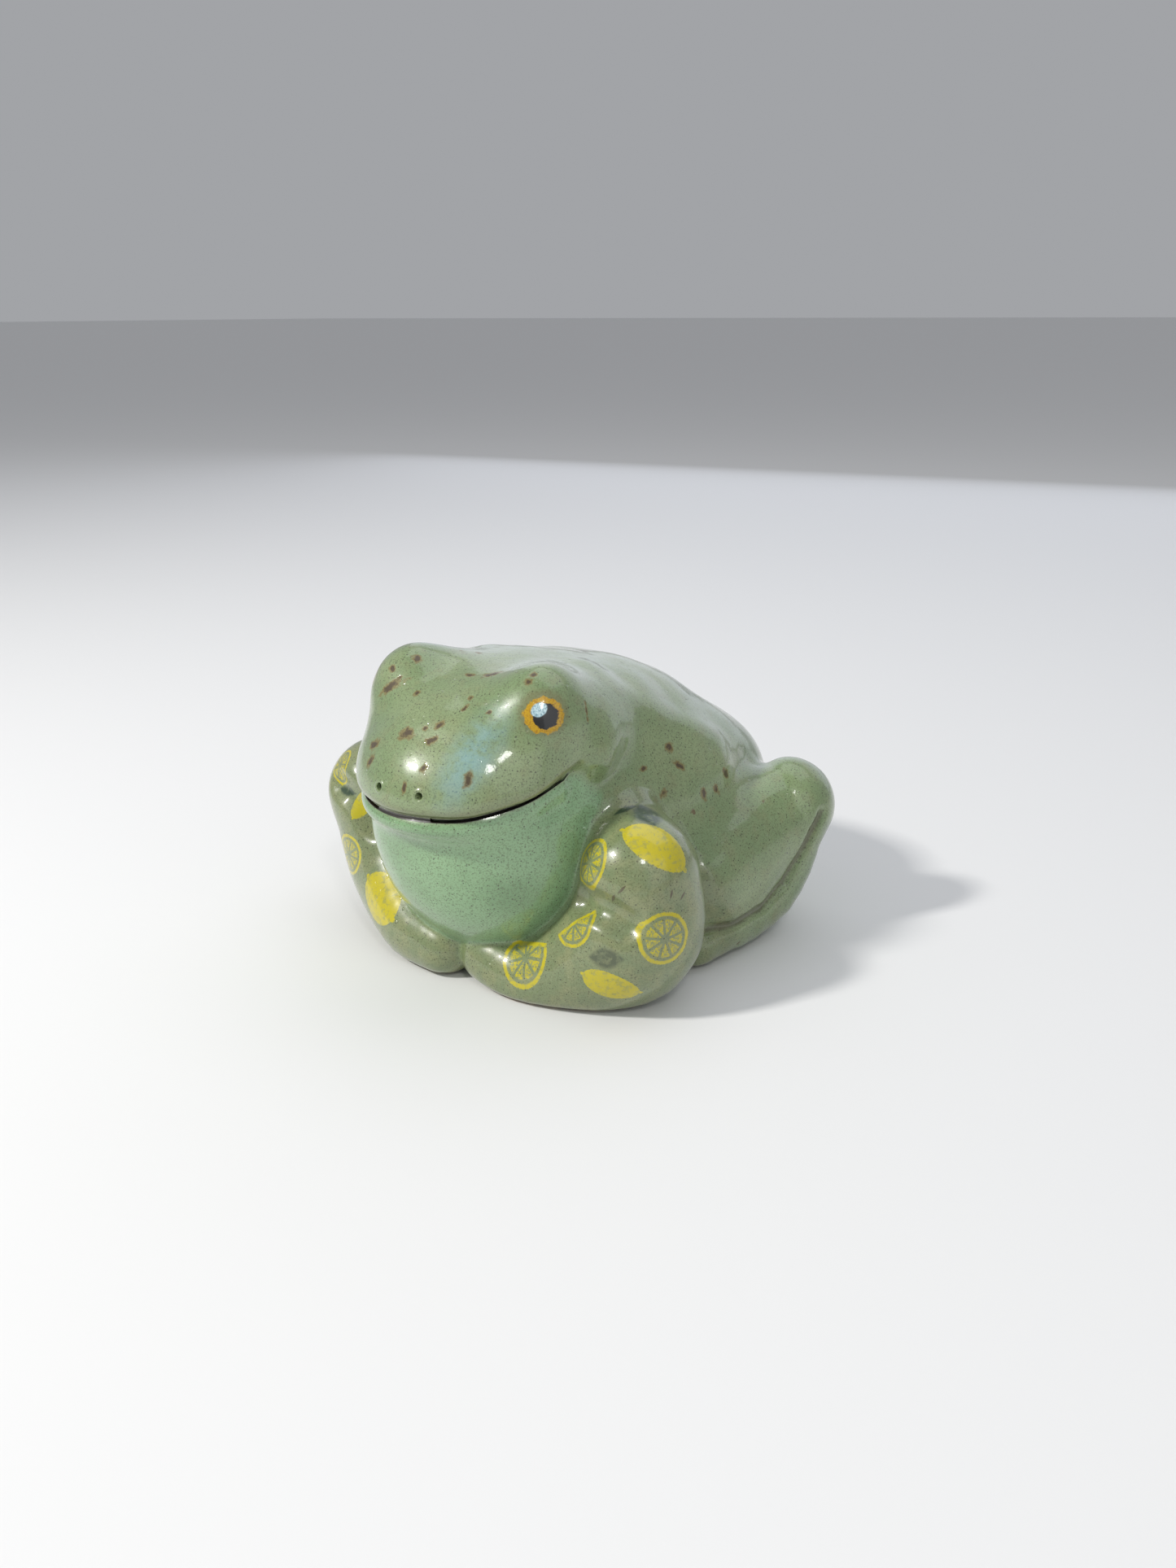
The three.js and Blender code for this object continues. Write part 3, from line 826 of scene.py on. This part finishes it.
    peel = noise(tree, where, 85, 2)
    pits = addNode(tree, "ShaderNodeTexVoronoi", {"Vector": warped, "Scale": 260.0, "Randomness": 1.0})
    pitPick = addNode(tree, "ShaderNodeSeparateColor", {0: pits.outputs["Color"]})
    pit = calc(tree, "MULTIPLY", step(tree, pits.outputs["Distance"], 0.2, 0.04),
               step(tree, pitPick.outputs[0], 0.6, 0.64))
    height = calc(tree, "MULTIPLY", peel, 1.2)
    height = calc(tree, "MULTIPLY_ADD", mottled, 0.12, height)
    height = calc(tree, "MULTIPLY_ADD", fine, 0.06, height)
    height = calc(tree, "MULTIPLY_ADD", pit, -0.5, height)
    height = calc(tree, "MULTIPLY_ADD", raised, -0.15, height)
    bump = addNode(tree, "ShaderNodeBump", {"Height": height, "Strength": 0.5, "Distance": 0.0006})
    tree.links.new(bump.outputs[0], shader.inputs["Normal"])
    tree.links.new(bump.outputs[0], shader.inputs["Coat Normal"])
    return material


def bareClay():
    material = bpy.data.materials.new("bareStoneware")
    material.use_nodes = True
    tree = material.node_tree
    shader = tree.nodes["Principled BSDF"]
    where = addNode(tree, "ShaderNodeTexCoord").outputs["Object"]
    grit = noise(tree, where, 900, 4, 0.7)
    wash = noise(tree, where, 60, 3)
    base = blend(tree, step(tree, wash, 0.3, 0.7), colour(176, 158, 128), colour(196, 180, 150))
    grains = calc(tree, "MULTIPLY", step(tree, grit, 0.58, 0.66), 0.7)
    base = blend(tree, grains, base, colour(104, 84, 60))
    tree.links.new(base, shader.inputs["Base Color"])
    shader.inputs["Roughness"].default_value = 0.85
    bump = addNode(tree, "ShaderNodeBump", {"Height": grit, "Strength": 0.5, "Distance": 0.0004})
    tree.links.new(bump.outputs[0], shader.inputs["Normal"])
    return material


footClay = bareClay()
assembly = [
    (frogBody, "body", "torso_shell", "body_glaze"),
    (leftFore, "leftFore", "left_foreleg", "foreleg_glaze"),
    (rightFore, "rightFore", "right_foreleg", "foreleg_glaze"),
    (leftHind, "leftHind", "left_hind_leg", "hind_leg_glaze"),
    (rightHind, "rightHind", "right_hind_leg", "hind_leg_glaze"),
]
for piece, solid, node, slot in assembly:
    mesh = piece.data
    mesh.materials.clear()
    mesh.materials.append(glaze(solid + "Glaze", solid))
    mesh.materials.append(footClay)
    unglazed = [int(f.normal.z < -0.9 and f.center.z < 0.0006) for f in mesh.polygons]
    mesh.polygons.foreach_set("material_index", unglazed)
    selectOnly(piece)
    bpy.ops.object.shade_smooth_by_angle(angle=math.radians(50))
    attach(piece, "root")
    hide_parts(node)
print("glazed")

bpy.ops.mesh.primitive_plane_add(size=80, location=(0, 0, -0.0004))
floor = bpy.context.object
floor.name = "floor"
paper = bpy.data.materials.new("palePaper")
paper.use_nodes = True
paperShader = paper.node_tree.nodes["Principled BSDF"]
paperShader.inputs["Base Color"].default_value = (0.8, 0.8, 0.8, 1)
paperShader.inputs["Roughness"].default_value = 0.9
floor.data.materials.append(paper)

lights = [                                      # name, place, size, watts, colour
    ("key", (-0.75, -1.1, 1.2), (0.18, 0.18), 22, (1, 0.98, 0.94)),
    ("window", (0.75, -0.75, 1.05), (0.16, 0.22), 2.2, (1, 0.99, 0.97)),
    ("fill", (1.3, -0.5, 0.6), (1.0, 1.0), 1.6, (0.95, 0.97, 1)),
    ("top", (0.0, 0.45, 1.3), (1.6, 0.9), 4, (0.93, 0.96, 1)),
    ("wall", (-0.25, 1.5, 0.65), (2.4, 1.2), 5, (0.84, 0.89, 1)),
]
for name, place, size, power, tint in lights:
    bpy.ops.object.light_add(type="AREA", location=place)
    lamp = bpy.context.object
    lamp.name = name
    lamp.data.shape = "RECTANGLE"
    lamp.data.size, lamp.data.size_y = size
    lamp.data.energy = power
    lamp.data.color = tint
    lamp.rotation_euler = (Vector((0, 0, 0.06)) - Vector(place)).to_track_quat("-Z", "Y").to_euler()
world = bpy.data.worlds.new("studio")
world.use_nodes = True
sky = world.node_tree.nodes["Background"]
sky.inputs["Color"].default_value = (0.86, 0.88, 0.92, 1)
sky.inputs["Strength"].default_value = 0.42
bpy.context.scene.world = world
bpy.context.scene.view_settings.view_transform = "Standard"

view = {"azimuth": 34, "elevation": 20, "roll": -0.3, "place": (317.1, -370.4, 262.9), "lens": 29.89}
bpy.ops.object.camera_add(location=toFrame(view["place"]))
camera = bpy.context.object
turn = Matrix.Rotation(math.radians(view["azimuth"]), 3, "Z") @ Matrix.Rotation(
    math.radians(90 - view["elevation"]), 3, "X") @ Matrix.Rotation(math.radians(view["roll"]), 3, "Z")
camera.rotation_euler = turn.to_euler()
camera.data.lens = view["lens"]
camera.data.sensor_width = 36
camera.data.clip_start = 0.01
bpy.context.scene.camera = camera

print("lit and framed")
